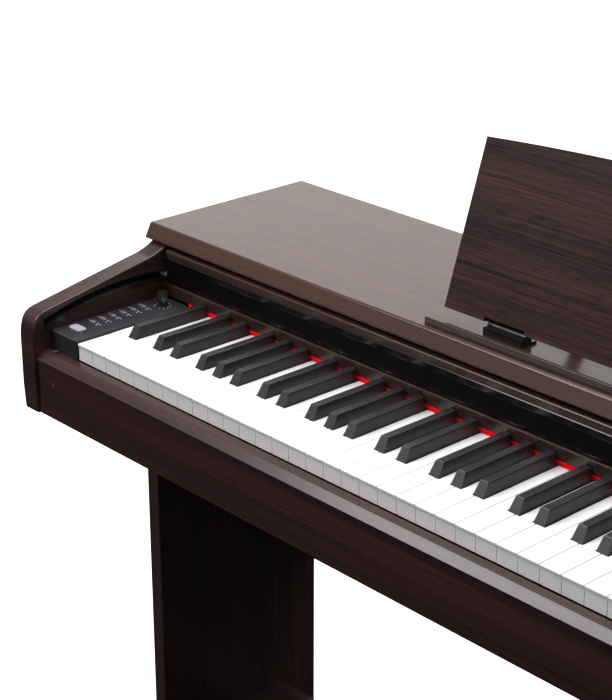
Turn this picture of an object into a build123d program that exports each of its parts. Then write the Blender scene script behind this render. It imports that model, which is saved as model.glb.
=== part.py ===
"""Digital piano on a stand: 88 keys, sliding key cover, music rest and three pedals.

Frame: +X to the player's right, +Y to the back, +Z up; the origin is on the floor under
the middle of the piano.  Millimetres.
"""
from build123d import *
import os
from math import cos, radians, sin

# ---------------------------------------------------------------- driving dimensions
KEY_TOP = 735.0          # height of the white key tops above the floor
KEY_FRONT = -181.5       # front edge of the white keys
WHITE_PITCH = 23.5
WHITE_COUNT = 52
BACK = 387.0             # back edge of the top board, behind the key fronts
HALF_KEYS = WHITE_PITCH * WHITE_COUNT / 2
HALF_INNER = 657.0       # inner face of each cheek
CHEEK = 28.5             # cheek thickness
HALF_TOP = 688.0         # half the length of the top board
CASE_BOTTOM = -88.0      # underside of the key bed, measured from the key tops
TOP_UNDER = 61.5         # underside of the top board
TOP_OVER = 78.5          # upper face of the top board
PANEL = 15.0             # thickness of the plain case boards
REAR_BOARD = (372.0, 384.0)


def dy(depth):
    """The Y of a point this far behind the white key fronts."""
    return KEY_FRONT + depth


def dz(height):
    """The Z of a point this far above the white key tops."""
    return KEY_TOP + height


def section(*pairs):
    """Corner points of a cross-section, given as depth and height from the key front edge."""
    return [(dy(depth), dz(height)) for depth, height in pairs]


def block(x, y, z, mode=Mode.ADD):
    """A rectangular block between two values on each axis, in the part being built."""
    centre = ((x[0] + x[1]) / 2, (y[0] + y[1]) / 2, (z[0] + z[1]) / 2)
    with Locations(centre):
        Box(x[1] - x[0], y[1] - y[0], z[1] - z[0], mode=mode)


def bar(points, x):
    """A bar of one cross-section, running along X between two values."""
    with BuildPart() as made:
        with BuildSketch(Plane.YZ.offset(x[0])):
            with BuildLine():
                Polyline(*points, close=True)
            make_face()
        extrude(amount=x[1] - x[0])
    return made.part


def rod(radius, x, depth, height):
    """A round rod along X between two values, centred at a depth and height."""
    with BuildPart() as made:
        with BuildSketch(Plane.YZ.offset(x[0])):
            with Locations((dy(depth), dz(height))):
                Circle(radius)
        extrude(amount=x[1] - x[0])
    return made.part


def both_sides(piece):
    """A piece and its mirror image across the middle of the piano."""
    return [piece, mirror(piece, about=Plane.YZ, mode=Mode.PRIVATE)]


def save(part, name):
    """Label a finished sub-part and write it to its own STEP file."""
    part.label = name
    export_step(part, f"parts/{name}.step")


os.makedirs("parts", exist_ok=True)

# ---------------------------------------------------------------- top board
with BuildPart() as top_board:
    profile = section((160, TOP_OVER), (BACK, TOP_OVER), (BACK, TOP_UNDER), (151.4, TOP_UNDER))
    add(bar(profile, (-HALF_TOP, HALF_TOP)))
    fillet(top_board.edges().filter_by(Axis.X).sort_by(Axis.Y)[0], radius=1.5)
    crown = top_board.faces().sort_by(Axis.Z)[-1].edges().filter_by(Axis.X).sort_by(Axis.Y)
    fillet(crown[0], radius=3.5)
    fillet(top_board.edges().filter_by(Axis.X).sort_by(Axis.Y)[-2:], radius=1.0)
save(top_board.part, "top_board")

# ---------------------------------------------------------------- key cover path
# The cover slides in an arched track; every point of it turns about one distant centre.
TRACK_CENTRE = (102.0, -315.0)
TRACK_R = 345.5
TRACK_SPAN = (-19.0, 39.0)      # degrees from upright, positive towards the back
ROLLER_ANGLES = (9.0, 36.0)
COVER_HALF = 650.0
COVER_THICK = 5.0
COVER_SPAN = (8.0, 37.5)
RAIL_FRONT = 150.0
RAIL_BACK = 160.0


def on_track(angle, radius=TRACK_R):
    """Depth and height of a point on the track's circle."""
    depth = TRACK_CENTRE[0] + radius * sin(radians(angle))
    return depth, TRACK_CENTRE[1] + radius * cos(radians(angle))


def arc_band(inner, outer, angles, x):
    """A slice of a ring about the track's centre, running along X."""
    middle = (angles[0] + angles[1]) / 2
    low = section(*[on_track(a, inner) for a in (angles[0], middle, angles[1])])
    high = section(*[on_track(a, outer) for a in (angles[0], middle, angles[1])])
    with BuildPart() as made:
        with BuildSketch(Plane.YZ.offset(x[0])):
            with BuildLine():
                ThreePointArc(*low)
                Line(low[2], high[2])
                ThreePointArc(*high)
                Line(high[0], low[0])
            make_face()
        extrude(amount=x[1] - x[0])
    return made.part


# ---------------------------------------------------------------- cheeks
CHEEK_BACK = 385.0
OUTER_ROUND = 7.0
INNER_ROUND = 2.2
GROOVE_HALF = 4.6
GROOVE_DEPTH = 10.0


def cheek():
    """The right-hand cheek: a thick end board with an arched groove in its inner face."""
    outline = section((158.9, TOP_UNDER), (CHEEK_BACK, TOP_UNDER), (CHEEK_BACK, CASE_BOTTOM),
                      (-22.5, CASE_BOTTOM), (-24, -60), (-24, -10))
    corner = section((-24, -10), (-24, 12), (-19.5, 22.6), (-5.5, 25.2))
    slope = section((-5.5, 25.2), (133, 50.9))
    swoop = section((133, 50.9), (147, 55.2), (158.9, TOP_UNDER))
    with BuildPart() as made:
        with BuildSketch(Plane.YZ.offset(HALF_INNER)):
            with BuildLine():
                Polyline(*outline)
                Bezier(*corner)
                Line(*slope)
                ThreePointArc(*swoop)
            make_face()
        extrude(amount=CHEEK)
        rim = made.edges().filter_by(
            lambda e: e.bounding_box().size.X < 0.01 and e.center().Y < dy(140)
            and (e.center().Y < dy(-15) or e.center().Z > dz(24)))
        fillet(rim.group_by(Axis.X)[-1], radius=OUTER_ROUND)
        fillet(rim.group_by(Axis.X)[0], radius=INNER_ROUND)
        add(arc_band(TRACK_R - GROOVE_HALF, TRACK_R + GROOVE_HALF, TRACK_SPAN,
                     (HALF_INNER - 1, HALF_INNER + GROOVE_DEPTH)), mode=Mode.SUBTRACT)
    return made.part


right_cheek, left_cheek = both_sides(cheek())
save(right_cheek, "right_cheek")
save(left_cheek, "left_cheek")

# ---------------------------------------------------------------- case boards
with BuildPart() as key_bed:
    block((-HALF_INNER, HALF_INNER), (dy(-5), dy(REAR_BOARD[0])), (dz(CASE_BOTTOM), dz(-73)))
    with Locations((-430, dy(280), dz(CASE_BOTTOM)), (430, dy(280), dz(CASE_BOTTOM))):
        Cylinder(52, 40, mode=Mode.SUBTRACT)
save(key_bed.part, "key_bed")

LED_X = -631.0
LED_Z = -48.0
with BuildPart() as front_apron:
    block((-HALF_INNER, HALF_INNER), (dy(-20), dy(-5)), (dz(CASE_BOTTOM), dz(-28)))
    with BuildSketch(Plane.XZ.offset(-dy(-20))):
        with Locations((LED_X, dz(LED_Z))):
            SlotOverall(4.6, 1.8, rotation=90)
    extrude(amount=-PANEL, mode=Mode.SUBTRACT)
save(front_apron.part, "front_apron")

with BuildPart() as key_slip:
    profile = section((-2, -18), (-13, -18), (-21, -25.5), (-21, -28), (-2, -28))
    add(bar(profile, (-HALF_INNER, HALF_INNER)))
    crest = key_slip.edges().filter_by(Axis.X).group_by(Axis.Z)[-1]
    fillet(crest, radius=1.2)
save(key_slip.part, "key_slip")

INLET_X = -380.0
INLET_R = 4.0
with BuildPart() as rear_board:
    block((-HALF_INNER, HALF_INNER), (dy(REAR_BOARD[0]), dy(REAR_BOARD[1])),
          (dz(CASE_BOTTOM), dz(TOP_UNDER)))
    block((INLET_X - 36, INLET_X + 36), (dy(370), dy(386)), (dz(-62), dz(-38)), Mode.SUBTRACT)
save(rear_board.part, "rear_board")

with BuildPart() as name_board:
    profile = section((150, 5), (150, 17.5), (152, 19), (170, 19), (170, 5))
    add(bar(profile, (-HALF_INNER, HALF_INNER)))
save(name_board.part, "name_board")

with BuildPart() as felt_strips:
    block((-HALF_KEYS, HALF_KEYS), (dy(149.4), dy(152)), (dz(0.8), dz(5)))
    block((-HALF_KEYS, HALF_KEYS), (dy(20), dy(46)), (dz(-34), dz(-31)))
save(felt_strips.part, "felt_strips")

with BuildPart() as power_led:
    with BuildSketch(Plane.XZ.offset(-dy(-20.2))):
        with Locations((LED_X, dz(LED_Z))):
            SlotOverall(4.4, 1.6, rotation=90)
    extrude(amount=-8)
save(power_led.part, "power_led")

# ---------------------------------------------------------------- sliding key cover
CHANNEL_HALF = 3.5
LINER_WALL = 1.2
LIP_SPAN = (TRACK_SPAN[0], 7.8)     # the lip stops in front of the name board
ROLLER_PIN_R = 1.8


def track_liner():
    """The right-hand track: a U-shaped liner in the groove, with a lip along its lower edge."""
    inside_span = (TRACK_SPAN[0] + 0.3, TRACK_SPAN[1] - 0.3)
    groove_floor = HALF_INNER + GROOVE_DEPTH
    with BuildPart() as made:
        add(arc_band(TRACK_R - GROOVE_HALF, TRACK_R + GROOVE_HALF, TRACK_SPAN,
                     (HALF_INNER, groove_floor)))
        add(arc_band(TRACK_R - CHANNEL_HALF, TRACK_R + CHANNEL_HALF, inside_span,
                     (HALF_INNER - 3, groove_floor - LINER_WALL)), mode=Mode.SUBTRACT)
        add(arc_band(TRACK_R - GROOVE_HALF - LINER_WALL, TRACK_R - CHANNEL_HALF, LIP_SPAN,
                     (HALF_INNER - LINER_WALL, HALF_INNER)))
    return made.part


def roller(angle):
    """A right-hand roller on its pin, at an angle along the track."""
    depth, height = on_track(angle)
    wheel_start = HALF_INNER - 0.5
    with BuildPart() as made:
        add(rod(ROLLER_PIN_R, (COVER_HALF, wheel_start), depth, height))
        add(rod(CHANNEL_HALF - 0.3, (wheel_start, HALF_INNER + 8), depth, height))
    return made.part


with BuildPart() as cover_tracks:
    add(both_sides(track_liner()))
save(cover_tracks.part, "cover_tracks")

with BuildPart() as key_cover:
    half = COVER_THICK / 2
    add(arc_band(TRACK_R - half, TRACK_R + half, COVER_SPAN, (-COVER_HALF, COVER_HALF)))
    block((-HALF_TOP, HALF_TOP), (dy(100), dy(RAIL_BACK)), (dz(0), dz(60)), Mode.SUBTRACT)
save(key_cover.part, "key_cover")

with BuildPart() as cover_front_rail:
    profile = section((152, 20.8), (RAIL_FRONT, 21.6), (RAIL_FRONT, 23.2), (153.4, 39.8),
                      (152.2, 41.2), (152.2, 46.8), (153.4, 48.6), (153.4, 49.2), (RAIL_BACK, 49.2),
                      (RAIL_BACK, 20.8))
    add(bar(profile, (-COVER_HALF, COVER_HALF)))
    ridges = cover_front_rail.edges().filter_by(Axis.X).group_by(Axis.Y)
    fillet(ridges[0] + ridges[2], radius=0.4)
save(cover_front_rail.part, "cover_front_rail")

with BuildPart() as cover_handle_strip:
    profile = section((151, 49.2), (151, 57), (164, 57), (164, 49.2))
    add(bar(profile, (-COVER_HALF, COVER_HALF)))
    fillet(cover_handle_strip.edges().filter_by(Axis.X).group_by(Axis.Z)[-1], radius=2.6)
save(cover_handle_strip.part, "cover_handle_strip")

with BuildPart() as cover_rollers:
    for angle in ROLLER_ANGLES:
        add(both_sides(roller(angle)))
save(cover_rollers.part, "cover_rollers")

with BuildPart() as cover_bumpers:
    with BuildSketch(Plane.XY.offset(dz(-18))):
        with Locations((-641, dy(-7)), (641, dy(-7))):
            Circle(3.5)
    extrude(amount=2.5)
    fillet(cover_bumpers.faces().sort_by(Axis.Z)[-2:].edges(), radius=0.8)
save(cover_bumpers.part, "cover_bumpers")

# ---------------------------------------------------------------- end blocks and controls
BLOCK_TOP = 3.0
BLOCK_X = (-HALF_INNER + 0.5, -HALF_KEYS - 1.0)
POWER_AT = (-639.0, 21.0)
SMALL_X = -643.0
SMALL_DEPTHS = (44.0, 57.5, 71.0, 84.5, 98.0, 111.5)
KNOB_AT = (-631.0, 129.0)
BUTTON_GAP = 0.3


def end_block():
    """The left end block: a thin shell, open underneath, between the cheek and the keys."""
    with BuildPart() as made:
        block(BLOCK_X, (dy(-1), dy(148)), (dz(-27), dz(BLOCK_TOP)))
        top_edges = made.faces().sort_by(Axis.Z)[-1].edges()
        fillet(top_edges.filter_by(Axis.X).sort_by(Axis.Y)[:1], radius=2.0)
        fillet(made.faces().sort_by(Axis.Z)[-1].edges().filter_by(Axis.Y), radius=0.6)
        block((BLOCK_X[0] + 2.5, BLOCK_X[1] - 2.5), (dy(1.5), dy(145.5)), (dz(-30), dz(0.5)),
              Mode.SUBTRACT)
    return made.part


right_end_block = mirror(end_block(), about=Plane.YZ)
save(right_end_block, "right_end_block")

with BuildPart() as left_end_block:
    add(end_block())
    with BuildSketch(Plane.XY.offset(dz(-1))):
        with Locations((POWER_AT[0], dy(POWER_AT[1]))):
            RectangleRounded(20 + 2 * BUTTON_GAP, 11.5 + 2 * BUTTON_GAP, 4.0)
        with Locations(*[(SMALL_X, dy(depth)) for depth in SMALL_DEPTHS]):
            SlotOverall(9.5 + 2 * BUTTON_GAP, 5 + 2 * BUTTON_GAP)
        with Locations((KNOB_AT[0], dy(KNOB_AT[1]))):
            Circle(3.4)
    extrude(amount=6, mode=Mode.SUBTRACT)
save(left_end_block.part, "left_end_block")

with BuildPart() as power_button:
    with BuildSketch(Plane.XY.offset(dz(-5))):
        with Locations((POWER_AT[0], dy(POWER_AT[1]))):
            RectangleRounded(20, 11.5, 3.7)
    extrude(amount=9.6)
    fillet(power_button.faces().sort_by(Axis.Z)[-1].edges(), radius=0.9)
save(power_button.part, "power_button")

for number, depth in enumerate(SMALL_DEPTHS, start=1):
    with BuildPart() as small_button:
        with BuildSketch(Plane.XY.offset(dz(-5))):
            with Locations((SMALL_X, dy(depth))):
                SlotOverall(9.5, 5)
        extrude(amount=9.2)
        fillet(small_button.faces().sort_by(Axis.Z)[-1].edges(), radius=0.7)
    save(small_button.part, f"function_button_{number}")

with BuildPart() as volume_knob:
    with Locations((KNOB_AT[0], dy(KNOB_AT[1]), dz(-7))):
        Cylinder(3.0, 12, align=(Align.CENTER, Align.CENTER, Align.MIN))
    with BuildSketch(Plane.XY.offset(dz(4))):
        with Locations((KNOB_AT[0], dy(KNOB_AT[1]))):
            Circle(5.4)
        with Locations((KNOB_AT[0], dy(KNOB_AT[1]))):
            with PolarLocations(5.4, 24):
                Circle(0.35, mode=Mode.SUBTRACT)
    extrude(amount=15.5)
    with BuildSketch(Plane.XY.offset(dz(3.6))):
        with Locations((KNOB_AT[0], dy(KNOB_AT[1]))):
            Circle(6.2)
    extrude(amount=1.4)
    block((KNOB_AT[0] - 0.5, KNOB_AT[0] + 0.5), (dy(KNOB_AT[1] + 1), dy(KNOB_AT[1] + 7)),
          (dz(19.0), dz(21)), Mode.SUBTRACT)
save(volume_knob.part, "volume_knob")

# ---------------------------------------------------------------- keys
PIVOT = (218.0, -10.0)          # depth and height of the key pivots
PIVOT_BOSS_R = 6.0
KEY_GAP = 0.8
KEY_BOTTOM = -19.0
KEY_END = 228.0
HEAD_LENGTH = 50.2
BLACK_FRONT = 51.0
BLACK_HEIGHT = 12.8
BLACK_BACK = 148.0
OCTAVE = 7 * WHITE_PITCH
TAIL_CE = 14.1                  # width of a tail slot in the C to E group
TAIL_FB = (4 * WHITE_PITCH) / 7  # and in the F to B group
NOTE_LEFT = {"c": 0, "d": 1, "e": 2, "f": 3, "g": 4, "a": 5, "b": 6}
F_LEFT = 3 * WHITE_PITCH
TAIL_SLOT = {"c": (0, TAIL_CE), "d": (2 * TAIL_CE, 3 * TAIL_CE), "e": (4 * TAIL_CE, F_LEFT)}
for index, note in enumerate("fgab"):
    left = F_LEFT + 2 * index * TAIL_FB
    TAIL_SLOT[note] = (left, left + TAIL_FB)
BLACK_CENTRE = {"c_sharp": 1.5 * TAIL_CE, "d_sharp": 3.5 * TAIL_CE}
for index, note in enumerate(("f_sharp", "g_sharp", "a_sharp")):
    BLACK_CENTRE[note] = F_LEFT + (2 * index + 1.5) * TAIL_FB
FIRST_C = 2 * WHITE_PITCH       # the lowest C lies two white keys from the left end


def white_key(left, right, tail_left, tail_right):
    """A white key: a wide head with an overhanging front lip, and a narrower tail."""
    head = section((0, 0), (0, -2.2), (1.5, -3.2), (1.5, KEY_BOTTOM), (HEAD_LENGTH, KEY_BOTTOM),
                   (HEAD_LENGTH, 0))
    tail = section((HEAD_LENGTH - 1, 0), (KEY_END, 0), (KEY_END, -9.5), (190, -9.5),
                   (190, KEY_BOTTOM), (HEAD_LENGTH - 1, KEY_BOTTOM))
    with BuildPart() as made:
        add(bar(head, (left, right)))
        top = made.faces().sort_by(Axis.Z)[-1]
        fillet(top.edges().filter_by(Axis.X).sort_by(Axis.Y)[:1], radius=0.8)
        fillet(made.edges().filter_by(Axis.Z).group_by(Axis.Y)[0], radius=1.0)
        add(bar(tail, (tail_left, tail_right)))
        add(rod(PIVOT_BOSS_R, (tail_left, tail_right), *PIVOT))
        fillet(made.faces().sort_by(Axis.Z)[-1].edges().filter_by(Axis.Y), radius=0.35)
    return made.part


def black_key(centre):
    """A black key: a tapered cap with rounded edges on a narrow body."""
    cap_length = BLACK_BACK - BLACK_FRONT
    slope = 8.0
    body = section((53, -0.4), (KEY_END, -0.4), (KEY_END, -9.5), (190, -9.5), (190, KEY_BOTTOM),
                   (53, KEY_BOTTOM))
    with BuildPart() as made:
        with BuildSketch(Plane.XY.offset(dz(-0.6))):
            with Locations((centre, dy(BLACK_FRONT + cap_length / 2))):
                Rectangle(12.3, cap_length)
        with BuildSketch(Plane.XY.offset(dz(BLACK_HEIGHT))):
            with Locations((centre, dy(BLACK_FRONT + (cap_length + slope) / 2))):
                Rectangle(9.4, cap_length - slope)
        loft()
        top = made.faces().sort_by(Axis.Z)[-1]
        fillet(top.edges().filter_by(Axis.Y) + top.edges().filter_by(Axis.X).sort_by(Axis.Y)[:1],
               radius=1.4)
        add(bar(body, (centre - 5.3, centre + 5.3)))
        add(rod(PIVOT_BOSS_R, (centre - 5.3, centre + 5.3), *PIVOT))
    return made.part


def octave_starts(first, last):
    """The X of the left edge of each octave's C, by octave number."""
    return [-HALF_KEYS + FIRST_C + (octave - 1) * OCTAVE for octave in range(first, last + 1)]


for note, slot in TAIL_SLOT.items():
    low = 0 if note in "ab" else 1
    inset = KEY_GAP / 2
    left = NOTE_LEFT[note] * WHITE_PITCH
    head = (left + inset, left + WHITE_PITCH - inset)
    model = white_key(*head, slot[0] + inset, slot[1] - inset)
    starts = octave_starts(low, 7)
    # The lowest A and the highest C have no black neighbour on their outer side.
    first = white_key(*head, head[0], slot[1] - inset) if note == "a" else model
    with BuildPart() as white_keys:
        with Locations((starts[0], 0)):
            add(first)
        with Locations(*[(start, 0) for start in starts[1:]]):
            add(model)
        if note == "c":
            with Locations((starts[-1] + OCTAVE, 0)):
                add(white_key(*head, *head))
    save(white_keys.part, f"{note}_keys")

for note, centre in BLACK_CENTRE.items():
    low = 0 if note == "a_sharp" else 1
    model = black_key(centre)
    with BuildPart() as black_keys:
        with Locations(*[(start, 0) for start in octave_starts(low, 7)]):
            add(model)
    save(black_keys.part, f"{note}_keys")

with BuildPart() as key_frame:
    add(bar(section((20, -73), (20, -34), (46, -34), (46, -73)), (-HALF_KEYS, HALF_KEYS)))
    add(bar(section((206, -73), (206, -12), (230, -12), (230, -73)), (-HALF_KEYS, HALF_KEYS)))
    add(rod(PIVOT_BOSS_R + 0.3, (-HALF_KEYS - 1, HALF_KEYS + 1), *PIVOT), mode=Mode.SUBTRACT)
save(key_frame.part, "key_frame")

# ---------------------------------------------------------------- electronics
with BuildPart() as circuit_boards:
    block((-HALF_KEYS + 6, HALF_KEYS - 6), (dy(70), dy(150)), (dz(-50), dz(-48.4)))
    for post in (-480, -160, 160, 480):
        block((post - 4, post + 4), (dy(108), dy(116)), (dz(-73), dz(-50)))
    block((-110, 110), (dy(250), dy(360)), (dz(-73), dz(-71.4)))
    block((-60, -20), (dy(290), dy(330)), (dz(-71.4), dz(-67)))
    block((30, 70), (dy(300), dy(340)), (dz(-71.4), dz(-62)))
    block((BLOCK_X[0] + 4, BLOCK_X[1] - 4), (dy(6), dy(140)), (dz(-9.6), dz(-8)))
    block((BLOCK_X[0] + 18, BLOCK_X[0] + 26), (dy(64), dy(72)), (dz(-73), dz(-9.6)))
save(circuit_boards.part, "circuit_boards")

SPEAKER_X = 430.0
SPEAKER_DEPTH = 280.0
DRIVER_DROP = 28.0
BOX_DROP = 52.0
BOX_WALL = 3.0


def speaker_driver():
    """A loudspeaker facing down: magnet, cone and flange in one turned profile."""
    axis_z = dz(CASE_BOTTOM) - DRIVER_DROP
    profile = ((0, 22), (26, 22), (26, 10), (22, 10), (46, -9), (58, -9), (58, -12), (44, -12),
               (14, 4), (0, 4))
    with BuildPart() as made:
        with BuildSketch(Plane.XZ):
            with BuildLine():
                Polyline(*profile, close=True)
            make_face()
        revolve(axis=Axis.Z)
    return made.part.moved(Location((SPEAKER_X, dy(SPEAKER_DEPTH), axis_z)))


def speaker_box():
    """The right-hand box under the case, with a slotted grille in its underside."""
    outer_x = (SPEAKER_X - 85, SPEAKER_X + 85)
    outer_y = (dy(SPEAKER_DEPTH - 70), dy(SPEAKER_DEPTH + 70))
    outer_z = (dz(CASE_BOTTOM) - BOX_DROP, dz(CASE_BOTTOM))
    with BuildPart() as made:
        block(outer_x, outer_y, outer_z)
        fillet(made.edges().filter_by(Axis.Z), radius=12)
        fillet(made.faces().sort_by(Axis.Z)[0].edges(), radius=5)
        block((outer_x[0] + BOX_WALL, outer_x[1] - BOX_WALL),
              (outer_y[0] + BOX_WALL, outer_y[1] - BOX_WALL),
              (outer_z[0] + BOX_WALL, outer_z[1] + 5), Mode.SUBTRACT)
        with BuildSketch(Plane.XY.offset(outer_z[0] - 1)):
            with Locations((SPEAKER_X, dy(SPEAKER_DEPTH))):
                with GridLocations(0, 9, 1, 11):
                    SlotOverall(100, 4)
        extrude(amount=BOX_WALL * 2, mode=Mode.SUBTRACT)
    return made.part


with BuildPart() as speaker_drivers:
    add(both_sides(speaker_driver()))
save(speaker_drivers.part, "speaker_drivers")

with BuildPart() as speaker_boxes:
    add(both_sides(speaker_box()))
save(speaker_boxes.part, "speaker_boxes")

JACK_X = (540.0, 562.0)
JACK_R = 3.25
with BuildPart() as socket_boxes:
    block((524, 578), (dy(4), dy(60)), (dz(CASE_BOTTOM) - 26, dz(CASE_BOTTOM)))
    with BuildSketch(Plane.XZ.offset(-dy(4))):
        with Locations(*[(x, dz(CASE_BOTTOM) - 13) for x in JACK_X]):
            Circle(JACK_R)
    extrude(amount=-32, mode=Mode.SUBTRACT)
    block((INLET_X - 44, INLET_X + 44), (dy(384), dy(386)), (dz(-68), dz(-32)))
    block((INLET_X - 34, INLET_X + 34), (dy(364), dy(384)), (dz(-60), dz(-40)))
    with BuildSketch(Plane.XZ.offset(-dy(386))):
        with Locations((INLET_X + 20, dz(-50))):
            Circle(INLET_R)
    extrude(amount=14, mode=Mode.SUBTRACT)
    block((INLET_X - 24, INLET_X - 11), (dy(376), dy(387)), (dz(-56), dz(-44)), Mode.SUBTRACT)
save(socket_boxes.part, "socket_boxes")

# ---------------------------------------------------------------- music rest
LEAN = 18.15                    # degrees back from upright
REST_HALF = 265.0
REST_END_HEIGHT = 167.4
REST_MID_HEIGHT = 178.7
REST_THICK = 12.0
REST_FOOT = (187.0, 92.0)       # lower front edge of the panel
HINGE_U = -2.51                 # the hinge, in the panel's own height and depth
HINGE_W = 10.0
BRACKET_X = 188.5
BRACKET_HALF = 23.5
rest_plane = Plane(origin=(0, dy(REST_FOOT[0]), dz(REST_FOOT[1])), x_dir=(1, 0, 0),
                   z_dir=(0, -cos(radians(LEAN)), sin(radians(LEAN))))
hinge_point = rest_plane.from_local_coords((0, HINGE_U, -HINGE_W))
HINGE = (hinge_point.Y - KEY_FRONT, hinge_point.Z - KEY_TOP)
PROP_U = 60.0
PROP_W = 15.5
PROP_X = 150.0
PROP_LENGTH = 75.0
PROP_ANGLE = -57.7              # the prop's slope behind the panel, from level
prop_point = rest_plane.from_local_coords((0, PROP_U, -PROP_W))
PROP = (prop_point.Y - KEY_FRONT, prop_point.Z - KEY_TOP)

with BuildPart() as music_rest:
    with BuildSketch(rest_plane):
        with BuildLine():
            Polyline((-REST_HALF, REST_END_HEIGHT), (-REST_HALF, 0), (REST_HALF, 0),
                     (REST_HALF, REST_END_HEIGHT))
            ThreePointArc((REST_HALF, REST_END_HEIGHT), (0, REST_MID_HEIGHT),
                          (-REST_HALF, REST_END_HEIGHT))
        make_face()
        with Locations((-BRACKET_X, 0), (BRACKET_X, 0)):
            Rectangle(2 * BRACKET_HALF + 3, 8, mode=Mode.SUBTRACT)
    extrude(amount=-REST_THICK)
    ends = music_rest.faces().filter_by(Plane.YZ).sort_by(Axis.X)
    fillet(ends[0].edges() + ends[-1].edges(), radius=1.0)
save(music_rest.part, "music_rest")

with BuildPart() as rest_ledge:
    block((-269, 269), (dy(165), dy(169)), (dz(TOP_OVER), dz(86.6)))
    fillet(rest_ledge.edges().filter_by(Axis.X).group_by(Axis.Z)[-1], radius=0.8)
save(rest_ledge.part, "rest_ledge")

BARREL_R = 4.0
PIN_R = 1.5
with BuildPart() as rest_brackets:
    for side in (-1, 1):
        centre = side * BRACKET_X
        block((centre - BRACKET_HALF, centre + BRACKET_HALF), (dy(186), dy(208)),
              (dz(TOP_OVER), dz(81.2)))
        block((centre - BRACKET_HALF, centre + BRACKET_HALF), (dy(185), dy(190)),
              (dz(TOP_OVER), dz(86.5)))
        for edge in (-1, 1):
            outer = centre + edge * BRACKET_HALF
            inner = outer - edge * 4
            ear_x = (min(outer, inner), max(outer, inner))
            add(rod(5.0, ear_x, *HINGE))
            block(ear_x, (dy(HINGE[0] - 5), dy(HINGE[0] + 5)), (dz(81), dz(HINGE[1])))
        add(rod(PIN_R, (centre - BRACKET_HALF, centre + BRACKET_HALF), *HINGE))
save(rest_brackets.part, "rest_brackets")

with BuildPart() as rest_hinge_leaves:
    for side in (-1, 1):
        centre = side * BRACKET_X
        leaf_x = (centre - BRACKET_HALF + 4.5, centre + BRACKET_HALF - 4.5)
        with BuildSketch(rest_plane.offset(-REST_THICK)):
            with Locations((centre, 12)):
                Rectangle(leaf_x[1] - leaf_x[0], 29)
        extrude(amount=-2)
        add(rod(BARREL_R, leaf_x, *HINGE))
        add(rod(PIN_R + 0.06, leaf_x, *HINGE), mode=Mode.SUBTRACT)
        for edge in (-1, 1):
            clip = side * PROP_X + edge * 9.5
            with BuildSketch(rest_plane.offset(-REST_THICK)):
                with Locations((clip, PROP_U)):
                    Rectangle(3, 12)
            extrude(amount=-6)
        add(rod(PIN_R, (side * PROP_X - 9.5, side * PROP_X + 9.5), *PROP))
save(rest_hinge_leaves.part, "rest_hinge_leaves")

with BuildPart() as rest_props:
    direction = (cos(radians(PROP_ANGLE)), sin(radians(PROP_ANGLE)))
    normal = (-direction[1], direction[0])
    corners = []
    for along, across in ((0, 2), (0, -2), (PROP_LENGTH, -2), (PROP_LENGTH, 2)):
        corners.append((PROP[0] + along * direction[0] + across * normal[0],
                        PROP[1] + along * direction[1] + across * normal[1]))
    foot = (PROP[0] + PROP_LENGTH * direction[0], PROP[1] + PROP_LENGTH * direction[1])
    for side in (-1, 1):
        prop_x = (side * PROP_X - 7.5, side * PROP_X + 7.5)
        add(bar(section(*corners), prop_x))
        add(rod(2.0, prop_x, *foot))
        add(rod(3.0, prop_x, *PROP))
        add(rod(PIN_R + 0.06, prop_x, *PROP), mode=Mode.SUBTRACT)
save(rest_props.part, "rest_props")

# ---------------------------------------------------------------- stand
LEG_X = (663.0, 683.0)
LEG_Y = (139.0, 385.0)
FOOT_TOP = 48.0
GLIDE = 8.0
FOOT_X = 654.0
FOOT_WIDTH = 33.0


def side_panel():
    """The right-hand upright board of the stand."""
    with BuildPart() as made:
        block(LEG_X, (dy(LEG_Y[0]), dy(LEG_Y[1])), (FOOT_TOP, dz(CASE_BOTTOM)))
        fillet(made.edges().filter_by(Axis.Z).group_by(Axis.Y)[0], radius=1.5)
    return made.part


def stand_foot():
    """The right-hand foot: a long bar that slopes down to a blunt toe."""
    toe = dy(-12)
    heel = dy(LEG_Y[1])
    with BuildPart() as made:
        with BuildSketch(Plane.YZ.offset(FOOT_X)):
            with BuildLine():
                Polyline((heel, GLIDE), (heel, FOOT_TOP), (dy(60), FOOT_TOP), (dy(-4), GLIDE + 22),
                         (toe, GLIDE + 14), (toe, GLIDE), close=True)
            make_face()
        extrude(amount=FOOT_WIDTH)
        fillet(made.edges().filter_by(Axis.X).group_by(Axis.Y)[0], radius=4)
        fillet(made.faces().sort_by(Axis.Z)[-1].edges().filter_by(Axis.Y), radius=2)
    return made.part


with BuildPart() as side_panels:
    add(both_sides(side_panel()))
save(side_panels.part, "side_panels")

with BuildPart() as stand_feet:
    add(both_sides(stand_foot()))
save(stand_feet.part, "stand_feet")

with BuildPart() as foot_glides:
    with BuildSketch():
        with Locations(*[(x, dy(y)) for x in (-670.5, 670.5) for y in (12, 365)]):
            Circle(12)
    extrude(amount=GLIDE)
    fillet(foot_glides.edges().group_by(Axis.Z)[0], radius=1.5)
save(foot_glides.part, "foot_glides")

with BuildPart() as back_panel:
    block((-LEG_X[0], LEG_X[0]), (dy(366), dy(378)), (330, 640))
save(back_panel.part, "back_panel")

BRACKET_ARM = 34.0
BRACKET_STEEL = 3.0
BRACKET_DEPTHS = (170.0, 310.0)


def angle_bracket(depth):
    """A right-hand steel angle between the case floor and the side panel."""
    bracket_y = (dy(depth), dy(depth + 36))
    under_case = dz(CASE_BOTTOM)
    with BuildPart() as made:
        block((LEG_X[0] - BRACKET_ARM, LEG_X[0]), bracket_y, (under_case - BRACKET_STEEL, under_case))
        block((LEG_X[0] - BRACKET_STEEL, LEG_X[0]), bracket_y, (under_case - BRACKET_ARM, under_case))
    return made.part


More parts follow.
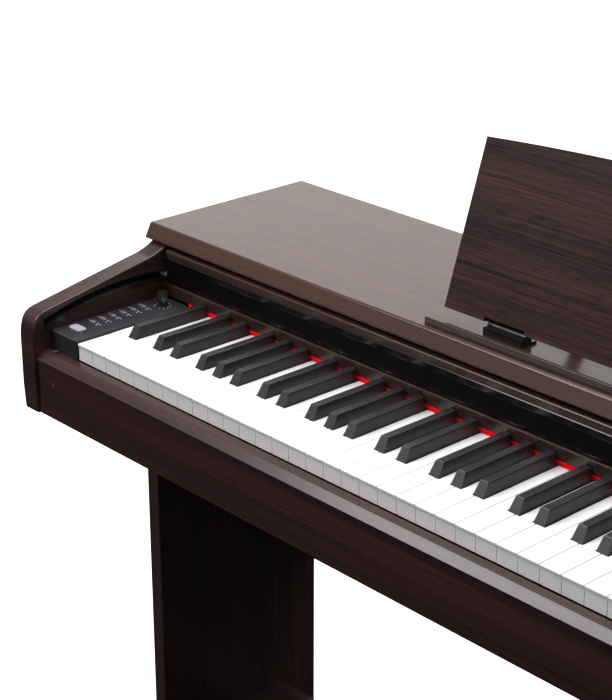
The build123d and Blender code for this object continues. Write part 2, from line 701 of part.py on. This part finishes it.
with BuildPart() as stand_brackets:
    for depth in BRACKET_DEPTHS:
        add(both_sides(angle_bracket(depth)))
save(stand_brackets.part, "stand_brackets")

# ---------------------------------------------------------------- pedals
BOX_Y = (250.0, 330.0)
BOX_Z = (54.0, 156.0)
PEDAL_X = {"soft_pedal": -78.0, "sostenuto_pedal": 0.0, "damper_pedal": 78.0}
PEDAL_PIVOT = (305.0, 90.0)     # depth behind the key fronts, height above the floor
PEDAL_TIP = 138.0
SHAFT_R = 4.0
ADJUSTER_DEPTH = 303.0
with BuildPart() as pedal_box:
    block((-LEG_X[0], LEG_X[0]), (dy(BOX_Y[0]), dy(BOX_Y[1])), BOX_Z)
    fillet(pedal_box.edges().filter_by(Axis.X).group_by(Axis.Y)[0].sort_by(Axis.Z)[-1:], radius=3)
    block((-LEG_X[0] + 20, LEG_X[0] - 20), (dy(BOX_Y[0] + PANEL), dy(BOX_Y[1] + 5)),
          (BOX_Z[0] + 3, BOX_Z[1] - PANEL), Mode.SUBTRACT)
    for x in PEDAL_X.values():
        block((x - 16, x + 16), (dy(BOX_Y[0] - 2), dy(BOX_Y[0] + PANEL + 2)), (74, 102), Mode.SUBTRACT)
    with Locations((0, dy(ADJUSTER_DEPTH), BOX_Z[0])):
        Cylinder(5.3, 12, mode=Mode.SUBTRACT)
save(pedal_box.part, "pedal_box")

with BuildPart() as pedal_bracket:
    block((-125, 125), (dy(266), dy(328)), (57, 60))
    block((-9, 9), (dy(ADJUSTER_DEPTH - 9), dy(ADJUSTER_DEPTH + 9)), (55, 62), Mode.SUBTRACT)
    for x in (-117, -39, 39, 117):
        block((x - 2, x + 2), (dy(292), dy(318)), (60, 104))
    with BuildSketch(Plane.YZ.offset(-119)):
        with Locations((dy(PEDAL_PIVOT[0]), PEDAL_PIVOT[1])):
            Circle(SHAFT_R)
    extrude(amount=238)
save(pedal_bracket.part, "pedal_bracket")


def pedal(x):
    """A pedal lever with a broad rounded tip, bored for its shaft."""
    hub_y = dy(PEDAL_PIVOT[0])
    hub_z = PEDAL_PIVOT[1]
    with BuildPart() as made:
        with BuildSketch(Plane.XY.offset(hub_z - 4)):
            with BuildLine():
                Line((x + 10, hub_y + 8), (x + 10, dy(215)))
                Bezier((x + 10, dy(215)), (x + 10, dy(195)), (x + 14, dy(190)), (x + 14, dy(170)))
                Bezier((x + 14, dy(170)), (x + 14, dy(146)), (x + 8, dy(PEDAL_TIP)),
                       (x, dy(PEDAL_TIP)))
                Bezier((x, dy(PEDAL_TIP)), (x - 8, dy(PEDAL_TIP)), (x - 14, dy(146)),
                       (x - 14, dy(170)))
                Bezier((x - 14, dy(170)), (x - 14, dy(190)), (x - 10, dy(195)), (x - 10, dy(215)))
                Line((x - 10, dy(215)), (x - 10, hub_y + 8))
                Line((x - 10, hub_y + 8), (x + 10, hub_y + 8))
            make_face()
        extrude(amount=8)
        fillet(made.faces().sort_by(Axis.Z)[-1].edges(), radius=1.6)
        with BuildSketch(Plane.YZ.offset(x - 10)):
            with Locations((hub_y, hub_z)):
                Circle(8)
        extrude(amount=20)
        with BuildSketch(Plane.YZ.offset(x - 10)):
            with Locations((hub_y, hub_z)):
                Circle(SHAFT_R + 0.06)
        extrude(amount=20, mode=Mode.SUBTRACT)
    return made.part


for name, x in PEDAL_X.items():
    save(pedal(x), name)

with BuildPart() as pedal_springs:
    for x in PEDAL_X.values():
        with BuildSketch(Plane.XY.offset(60)):
            with Locations((x, dy(276))):
                Circle(6)
                Circle(4.2, mode=Mode.SUBTRACT)
        extrude(amount=22)
save(pedal_springs.part, "pedal_springs")

with BuildPart() as box_adjuster:
    with Locations((0, dy(ADJUSTER_DEPTH), 0)):
        Cylinder(17, 8, align=(Align.CENTER, Align.CENTER, Align.MIN))
    fillet(box_adjuster.edges().group_by(Axis.Z)[0], radius=1.5)
    with Locations((0, dy(ADJUSTER_DEPTH), 7)):
        Cylinder(5.0, 52, align=(Align.CENTER, Align.CENTER, Align.MIN))
save(box_adjuster.part, "box_adjuster")
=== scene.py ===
"""Looks for the digital piano on its stand: laminate, key plastics, felt, metal and light.

Everything is in metres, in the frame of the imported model.
"""
import math

import bmesh
import bpy
from mathutils import Matrix, Vector


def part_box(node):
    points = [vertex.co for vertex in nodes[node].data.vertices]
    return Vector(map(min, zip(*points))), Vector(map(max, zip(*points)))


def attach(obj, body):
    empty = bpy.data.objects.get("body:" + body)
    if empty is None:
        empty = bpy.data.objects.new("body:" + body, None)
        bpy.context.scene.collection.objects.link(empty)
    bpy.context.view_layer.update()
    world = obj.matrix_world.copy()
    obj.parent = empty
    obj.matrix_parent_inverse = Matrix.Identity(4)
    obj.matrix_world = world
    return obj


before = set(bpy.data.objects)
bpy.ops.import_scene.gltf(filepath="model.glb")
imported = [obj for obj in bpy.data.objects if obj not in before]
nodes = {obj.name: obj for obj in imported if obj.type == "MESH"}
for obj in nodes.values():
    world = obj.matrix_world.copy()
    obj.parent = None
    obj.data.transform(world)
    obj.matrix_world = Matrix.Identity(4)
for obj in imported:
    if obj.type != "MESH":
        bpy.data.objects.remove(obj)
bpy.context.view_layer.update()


# ------------------------------------------------------------------ node helpers
class Shader:
    """A material under construction, with short calls for the nodes used here."""

    def __init__(self, name):
        self.material = bpy.data.materials.new(name)
        self.material.use_nodes = True
        self.tree = self.material.node_tree
        self.bsdf = self.tree.nodes["Principled BSDF"]
        self.coords = self.add("ShaderNodeTexCoord").outputs["Object"]

    def add(self, kind, **values):
        node = self.tree.nodes.new(kind)
        for key, value in values.items():
            setattr(node, key, value)
        return node

    def link(self, source, target):
        self.tree.links.new(source, target)

    def base(self, **values):
        for key, value in values.items():
            self.bsdf.inputs[key.replace("_", " ")].default_value = value

    def stretched(self, scale, offset=(0.0, 0.0, 0.0)):
        mapping = self.add("ShaderNodeMapping")
        mapping.inputs["Scale"].default_value = scale
        mapping.inputs["Location"].default_value = offset
        self.link(self.coords, mapping.inputs["Vector"])
        return mapping.outputs["Vector"]

    def noise(self, vector, scale, detail=2.0, roughness=0.5, distortion=0.0):
        node = self.add("ShaderNodeTexNoise")
        self.link(vector, node.inputs["Vector"])
        node.inputs["Scale"].default_value = scale
        node.inputs["Detail"].default_value = detail
        node.inputs["Roughness"].default_value = roughness
        node.inputs["Distortion"].default_value = distortion
        return node.outputs["Fac"]

    def ramp(self, factor, stops):
        node = self.add("ShaderNodeValToRGB")
        ramp = node.color_ramp
        while len(ramp.elements) < len(stops):
            ramp.elements.new(0.5)
        for element, (position, colour) in zip(ramp.elements, stops):
            element.position = position
            element.color = (*colour, 1.0)
        self.link(factor, node.inputs["Fac"])
        return node.outputs["Color"]

    def mix(self, factor, first, second, blend="MIX"):
        node = self.add("ShaderNodeMix", data_type="RGBA", blend_type=blend)
        for value, name in ((factor, "Factor"), (first, "A"), (second, "B")):
            socket = [s for s in node.inputs if s.name == name and
                      s.type == ("VALUE" if name == "Factor" else "RGBA")][0]
            if isinstance(value, (int, float)):
                socket.default_value = value
            elif isinstance(value, tuple):
                socket.default_value = (*value, 1.0)
            else:
                self.link(value, socket)
        return [s for s in node.outputs if s.type == "RGBA"][0]

    def remap(self, factor, low, high, from_low=0.0, from_high=1.0):
        node = self.add("ShaderNodeMapRange")
        node.inputs["From Min"].default_value = from_low
        node.inputs["From Max"].default_value = from_high
        node.inputs["To Min"].default_value = low
        node.inputs["To Max"].default_value = high
        self.link(factor, node.inputs["Value"])
        return node.outputs["Result"]

    def bump(self, height, strength, distance):
        node = self.add("ShaderNodeBump")
        node.inputs["Strength"].default_value = strength
        node.inputs["Distance"].default_value = distance
        self.link(height, node.inputs["Height"])
        self.link(node.outputs["Normal"], self.bsdf.inputs["Normal"])

    def colour(self, output):
        self.link(output, self.bsdf.inputs["Base Color"])

    def roughness(self, output):
        self.link(output, self.bsdf.inputs["Roughness"])


def along(axis, fine, coarse):
    """A stretch that is slow along one axis and quick across the other two."""
    return tuple(fine if name == axis else coarse for name in "xyz")


def laminate(name, grain, seed, contrast=0.42, body=(0.041, 0.0185, 0.0185)):
    """Dark rosewood laminate with fine straight grain along one axis."""
    s = Shader(name)
    offset = (seed * 3.7, seed * 1.9, seed * 5.3)
    pores = s.noise(s.stretched(along(grain, 40, 1300), offset), 1.0, 3.0, 0.6)
    streaks = s.noise(s.stretched(along(grain, 4.0, 330), offset), 1.0, 4.0, 0.62, 0.3)
    bands = s.noise(s.stretched(along(grain, 1.1, 38), offset), 1.0, 2.0, 0.5, 0.6)
    warm = tuple(c * f for c, f in zip(body, (1.35, 1.30, 1.15)))
    dark = tuple(c * f for c, f in zip(body, (0.62, 0.70, 0.92)))
    ground = s.ramp(bands, [(0.30, dark), (0.52, body), (0.74, warm)])
    veins = s.ramp(streaks, [(0.34, (0.25, 0.27, 0.34)), (0.47, (0.85, 0.85, 0.88)),
                             (0.58, (1.1, 1.1, 1.08)), (0.70, (1.9, 1.75, 1.5))])
    flecks = s.ramp(pores, [(0.36, (0.22, 0.22, 0.26)), (0.46, (1.0, 1.0, 1.0)),
                            (0.66, (1.35, 1.3, 1.25))])
    toned = s.mix(contrast, ground, veins, "MULTIPLY")
    s.colour(s.mix(contrast, toned, flecks, "MULTIPLY"))
    s.roughness(s.remap(pores, 0.44, 0.32, 0.3, 0.6))
    s.base(Specular_IOR_Level=0.05, Coat_Weight=0.7, Coat_Roughness=0.18)
    s.bump(pores, 0.10, 0.0003)
    return s.material


def moulded(name, colour, rough, speck=0.12, grain_scale=1400.0, depth=0.00012, coat=0.0,
            specular=0.5):
    """Moulded plastic or paint: one colour with faint mottling and a fine texture."""
    s = Shader(name)
    fine = s.noise(s.stretched((1, 1, 1)), grain_scale, 2.0)
    broad = s.noise(s.stretched((1, 1, 1)), 35.0, 3.0)
    dark = tuple(c * (1 - speck) for c in colour)
    light = tuple(min(1.0, c * (1 + speck)) for c in colour)
    s.colour(s.ramp(broad, [(0.35, dark), (0.65, light)]))
    s.roughness(s.remap(broad, rough * 0.95, rough * 1.05, 0.3, 0.7))
    s.base(Coat_Weight=coat, Coat_Roughness=0.08, Specular_IOR_Level=specular)
    s.bump(fine, 0.12, depth)
    return s.material


def metal(name, colour, rough, brush_axis="x"):
    """Polished or brushed metal with faint lines along one axis."""
    s = Shader(name)
    lines = s.noise(s.stretched(along(brush_axis, 20, 1800)), 1.0, 2.0)
    tarnish = s.noise(s.stretched((1, 1, 1)), 60.0, 3.0)
    s.colour(s.ramp(tarnish, [(0.35, tuple(c * 0.88 for c in colour)), (0.65, colour)]))
    s.roughness(s.remap(lines, rough * 0.8, rough * 1.3, 0.35, 0.65))
    s.base(Metallic=1.0)
    s.bump(lines, 0.04, 0.0001)
    return s.material


def felt():
    """Pressed red felt: short tangled fibres."""
    s = Shader("red_felt")
    fibres = s.noise(s.stretched((1, 1, 1)), 1600.0, 4.0, 0.7, 1.2)
    tufts = s.noise(s.stretched((1, 1, 1)), 220.0, 3.0, 0.6)
    thread = s.ramp(fibres, [(0.3, (0.75, 0.0, 0.006)), (0.7, (1.0, 0.004, 0.014))])
    s.colour(s.mix(0.4, thread, s.ramp(tufts, [(0.3, (0.75, 0.75, 0.75)), (0.7, (1.15, 1.1, 1.1))]),
                   "MULTIPLY"))
    s.base(Roughness=0.95, Specular_IOR_Level=0.1)
    s.bump(fibres, 0.5, 0.0004)
    return s.material


def board():
    """Green circuit board with traces."""
    s = Shader("circuit_green")
    tracks = s.noise(s.stretched((90, 600, 90)), 1.0, 1.0)
    s.colour(s.ramp(tracks, [(0.48, (0.01, 0.10, 0.04)), (0.52, (0.02, 0.20, 0.08))]))
    s.base(Roughness=0.35)
    s.bump(tracks, 0.1, 0.0001)
    return s.material


def lamp():
    """The small red lamp, faintly lit."""
    s = Shader("red_lamp")
    glow = s.noise(s.stretched((1, 1, 1)), 300.0)
    s.colour(s.ramp(glow, [(0.3, (0.5, 0.01, 0.01)), (0.7, (0.8, 0.03, 0.02))]))
    s.base(Roughness=0.3, Emission_Color=(0.9, 0.02, 0.02, 1.0), Emission_Strength=0.08)
    return s.material


rosewood_x = laminate("rosewood_along_x", "x", 0.0)
# The top board is the same rosewood laminate as the rest of the case, given a lighter body colour:
# painted light for the overhead light falling on the top. Its grain is the laminate's own.
rosewood_lit_top = laminate("rosewood_top_board_lit", "x", 0.6, 0.24, (0.064, 0.029, 0.019))
rosewood_y = laminate("rosewood_along_y", "y", 1.0)
rosewood_z = laminate("rosewood_along_z", "z", 2.0)
rosewood_rest = laminate("rosewood_music_rest", "x", 3.1, 0.9, (0.043, 0.019, 0.017))
name_brown = moulded("name_board_satin", (0.032, 0.014, 0.012), 0.26, 0.25, 900.0, 0.00004)
fibre = moulded("dark_foil_board", (0.022, 0.012, 0.010), 0.55, 0.2, 700.0, 0.0002)
rail_black = moulded("rail_black", (0.0030, 0.0022, 0.0024), 0.30, 0.2, 900.0, 0.00003, 0.6, 0.1)
satin_black = moulded("satin_black", (0.010, 0.008, 0.008), 0.30, 0.2)
charcoal = moulded("charcoal_panel", (0.022, 0.019, 0.024), 0.42, 0.10, 2200.0, 0.0002)
ivory = moulded("white_key_plastic", (0.87, 0.85, 0.855), 0.16, 0.012, 500.0, 0.00002, 0.3)
ebony = moulded("black_key_plastic", (0.0150, 0.0125, 0.0160), 0.36, 0.15, 1500.0, 0.0001)
pale_grey = moulded("pale_grey_button", (0.34, 0.34, 0.42), 0.42, 0.04)
dim_grey = moulded("function_button_grey", (0.14, 0.135, 0.155), 0.42, 0.05)
white_ink = moulded("white_print", (0.62, 0.62, 0.64), 0.6, 0.05)
knob_black = moulded("knob_black", (0.012, 0.012, 0.013), 0.14, 0.15, 1200.0, 0.00003, 0.6)
rubber = moulded("soft_rubber", (0.02, 0.02, 0.02), 0.75, 0.15, 900.0, 0.0003)
nylon = moulded("grey_nylon", (0.42, 0.42, 0.43), 0.4, 0.05)
black_steel = moulded("black_painted_steel", (0.014, 0.013, 0.015), 0.38, 0.2, 1800.0, 0.0002)
brass = metal("polished_brass", (0.80, 0.58, 0.25), 0.17, "y")
zinc = metal("zinc_screw", (0.55, 0.55, 0.56), 0.3)
cone_paper = moulded("speaker_black", (0.02, 0.02, 0.022), 0.7, 0.2, 500.0, 0.0004)
red_felt = felt()
circuit = board()
red_lamp = lamp()

LOOKS = {
    rosewood_lit_top: ["top_board"],
    rosewood_x: ["key_slip", "front_apron", "rest_ledge", "cover_handle_strip",
                 "back_panel", "pedal_box", "key_cover"],
    rosewood_y: ["left_cheek", "right_cheek", "stand_feet"],
    rosewood_z: ["side_panels"],
    rosewood_rest: ["music_rest"],
    fibre: ["key_bed", "rear_board", "key_frame"],
    rail_black: ["cover_front_rail"],
    name_brown: ["name_board"],
    satin_black: ["cover_tracks", "speaker_boxes", "socket_boxes", "rest_brackets"],
    charcoal: ["left_end_block", "right_end_block"],
    red_felt: ["felt_strips"],
    ivory: [f"{note}_keys" for note in "abcdefg"],
    ebony: [f"{note}_sharp_keys" for note in "acdfg"],
    pale_grey: ["power_button"],
    knob_black: ["volume_knob"],
    rubber: ["cover_bumpers", "foot_glides", "box_adjuster"],
    nylon: ["cover_rollers"],
    black_steel: ["stand_brackets", "pedal_bracket", "rest_hinge_leaves", "rest_props",
                  "pedal_springs"],
    brass: ["soft_pedal", "sostenuto_pedal", "damper_pedal"],
    circuit: ["circuit_boards"],
    cone_paper: ["speaker_drivers"],
    red_lamp: ["power_led"],
    dim_grey: [f"function_button_{n}" for n in range(1, 7)],
}
for material, names in LOOKS.items():
    for name in names:
        slots = nodes[name].material_slots
        for slot in slots:
            slot.link = "OBJECT"
            slot.material = material


# ------------------------------------------------------------------ small fittings
def centre_top(node):
    """The middle of a CAD node's upper face."""
    low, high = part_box(node)
    return Vector(((low[0] + high[0]) / 2, (low[1] + high[1]) / 2, high[2]))


def add_slab(build, at, size, turn=0.0):
    """A thin slab standing on a point, turned about the upright."""
    made = bmesh.ops.create_cube(build, size=1.0)["verts"]
    bmesh.ops.scale(build, vec=size, verts=made)
    bmesh.ops.rotate(build, matrix=Matrix.Rotation(turn, 3, "Z"), verts=made)
    bmesh.ops.translate(build, vec=Vector(at) + Vector((0, 0, size[2] / 2)), verts=made)


def add_screw(build, at, normal, radius):
    """A countersunk screw head with a cross recess, facing along a normal."""
    turn = Vector(normal).to_track_quat("Z", "Y").to_matrix()
    made = []
    rings = ((radius, 0.0), (radius, 0.25), (radius * 0.82, 0.42), (radius * 0.3, 0.46))
    for width, rise in rings:
        ring = []
        for step in range(SCREW_SIDES):
            angle = 2 * math.pi * step / SCREW_SIDES
            # The cross recess is cut by dropping four runs of the innermost ring.
            cross = width < radius * 0.5 and step % 6 < 2
            lift = radius * (0.15 if cross else rise)
            spot = Vector((width * math.cos(angle), width * math.sin(angle), lift))
            ring.append(build.verts.new(Vector(at) + turn @ spot))
        made.append(ring)
    for lower, upper in zip(made, made[1:]):
        for step in range(SCREW_SIDES):
            after = (step + 1) % SCREW_SIDES
            build.faces.new((lower[step], lower[after], upper[after], upper[step]))
    build.faces.new(made[-1])
    build.faces.new(list(reversed(made[0])))


def finish_piece(name, build, material, body):
    """Turn a mesh under construction into a piece of the piano that rides a body."""
    mesh = bpy.data.meshes.new(name)
    build.to_mesh(mesh)
    build.free()
    mesh.materials.append(material)
    piece = bpy.data.objects.new(name, mesh)
    bpy.context.scene.collection.objects.link(piece)
    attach(piece, body)


SCREW_SIDES = 24
INK = 0.00012               # how far printed marks stand above the panel
DASH_WIDTH = 0.0008
DOT = 0.0012
TICK = (0.0006, 0.0020, INK)
TICK_REACH = 0.0089         # from the knob's axis to the middle of a tick
TICK_COUNT = 11
TICK_STEP = 30              # degrees between ticks, over 300 degrees of turn
BACK_SCREW = 0.0038
FLOOR_SCREW = 0.0042
PANEL_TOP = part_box("left_end_block")[1][2]

marks = bmesh.new()
for number in range(1, 7):
    spot = centre_top(f"function_button_{number}")
    for along_x, length in ((-0.0082, 0.0022), (0.0078, 0.0034), (0.0122, 0.0018)):
        add_slab(marks, (spot.x + along_x, spot.y + 0.0008, PANEL_TOP), (length, DASH_WIDTH, INK))
    add_slab(marks, (spot.x + 0.0095, spot.y - 0.0028, PANEL_TOP), (DOT, DOT, INK), 0.785)
knob = centre_top("volume_knob")
for step in range(TICK_COUNT):
    angle = math.radians(TICK_STEP * (step - TICK_COUNT // 2))
    reach = Vector((math.sin(angle), math.cos(angle), 0.0)) * TICK_REACH
    add_slab(marks, (knob.x + reach.x, knob.y + reach.y, PANEL_TOP), TICK, -angle)
finish_piece("panel_marks", marks, white_ink, "case")

screws = bmesh.new()
back_low, back_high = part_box("rear_board")
for across in range(9):
    x = back_low[0] + 0.03 + across * (back_high[0] - back_low[0] - 0.06) / 8
    for z in (back_low[2] + 0.012, back_high[2] - 0.012):
        add_screw(screws, (x, back_high[1], z), (0, 1, 0), BACK_SCREW)
panel_low, panel_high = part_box("back_panel")
for side in (panel_low[0] + 0.02, panel_high[0] - 0.02):
    for step in range(4):
        z = panel_low[2] + 0.03 + step * (panel_high[2] - panel_low[2] - 0.06) / 3
        add_screw(screws, (side, panel_high[1], z), (0, 1, 0), BACK_SCREW)
bed_low, bed_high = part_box("key_bed")
for x in (-0.56, -0.28, 0.0, 0.28):
    for y in (bed_low[1] + 0.10, bed_high[1] - 0.06):
        add_screw(screws, (x, y, bed_low[2]), (0, 0, -1), FLOOR_SCREW)
finish_piece("case_screws", screws, zinc, "case")

# ------------------------------------------------------------------ camera
AZIMUTH = 47.63
ELEVATION = 22.58
CAMERA_AT = Vector((0.86995, -1.20905, 1.47064))
LENS = 95.11
SENSOR_WIDTH = 36.0
camera_data = bpy.data.cameras.new("camera")
camera_data.lens = LENS
camera_data.sensor_width = SENSOR_WIDTH
camera_data.clip_end = 200.0
camera = bpy.data.objects.new("camera", camera_data)
bpy.context.scene.collection.objects.link(camera)
camera.location = CAMERA_AT
camera.rotation_euler = (math.radians(90.0 - ELEVATION), 0.0, math.radians(AZIMUTH))
bpy.context.scene.camera = camera


# ------------------------------------------------------------------ stage and light
def stage_piece(name, glow, dome):
    """The pale floor or the dome above it; the camera sees them, the object does not."""
    mesh = bpy.data.meshes.new(name)
    build = bmesh.new()
    if dome:
        bmesh.ops.create_icosphere(build, subdivisions=4, radius=STAGE_RADIUS)
    else:
        bmesh.ops.create_grid(build, x_segments=2, y_segments=2, size=STAGE_RADIUS)
    build.to_mesh(mesh)
    build.free()
    piece = bpy.data.objects.new(name, mesh)
    piece.location.z = -0.0005
    piece.visible_diffuse = False
    piece.visible_glossy = False
    piece.visible_shadow = not dome
    bpy.context.scene.collection.objects.link(piece)
    s = Shader("pale_" + name)
    s.base(Base_Color=(0.9, 0.9, 0.9, 1.0), Roughness=0.9, Specular_IOR_Level=0.1,
           Emission_Color=(1.0, 1.0, 1.0, 1.0), Emission_Strength=glow)
    mesh.materials.append(s.material)


def area_light(name, at, aim, size, power):
    data = bpy.data.lights.new(name, "AREA")
    data.shape = "RECTANGLE"
    data.size, data.size_y = size
    data.energy = power
    light = bpy.data.objects.new(name, data)
    light.location = at
    light.rotation_euler = (Vector(aim) - Vector(at)).to_track_quat("-Z", "Y").to_euler()
    bpy.context.scene.collection.objects.link(light)


STAGE_RADIUS = 40.0         # metres; well past the edges of every view
SKY_LOW = 0.06              # light from below the horizon
SKY_FRONT = 0.40            # from the player's side
SKY_BACK = 0.52             # and from behind the piano
stage_piece("floor", 0.75, False)
stage_piece("backdrop", 1.0, True)


def studio_world():
    """Soft daylight from above and behind, little light from below and in front."""
    world = bpy.data.worlds.new("studio")
    world.use_nodes = True
    tree = world.node_tree
    background = tree.nodes["Background"]
    coords = tree.nodes.new("ShaderNodeTexCoord").outputs["Generated"]
    aims = (("height", (0.0, 0.0, 1.0), -0.05, 0.25, SKY_LOW, 1.0),
            ("side", (-0.68, 0.62, 0.0), -0.5, 0.8, SKY_FRONT, SKY_BACK))
    factors = []
    for name, direction, low, high, dim, bright in aims:
        dot = tree.nodes.new("ShaderNodeVectorMath")
        dot.name = name
        dot.operation = "DOT_PRODUCT"
        dot.inputs[1].default_value = direction
        tree.links.new(coords, dot.inputs[0])
        spread = tree.nodes.new("ShaderNodeMapRange")
        spread.inputs["From Min"].default_value = low
        spread.inputs["From Max"].default_value = high
        spread.inputs["To Min"].default_value = dim
        spread.inputs["To Max"].default_value = bright
        tree.links.new(dot.outputs["Value"], spread.inputs["Value"])
        factors.append(spread.outputs["Result"])
    product = tree.nodes.new("ShaderNodeMath")
    product.operation = "MULTIPLY"
    tree.links.new(factors[0], product.inputs[0])
    tree.links.new(factors[1], product.inputs[1])
    tree.links.new(product.outputs["Value"], background.inputs["Strength"])
    background.inputs["Color"].default_value = (1.0, 1.0, 1.0, 1.0)
    bpy.context.scene.world = world


studio_world()
bpy.context.scene.view_settings.view_transform = "Standard"
area_light("overhead", (-0.3, 0.5, 3.4), (0.0, 0.0, 0.7), (3.0, 2.2), 84.0)
area_light("behind", (-2.6, 2.6, 2.2), (0.0, 0.0, 0.8), (3.0, 2.0), 18.0)
area_light("left_front", (-1.35, -1.5, 2.4), (0.0, -0.2, 0.7), (1.1, 1.1), 34.0)
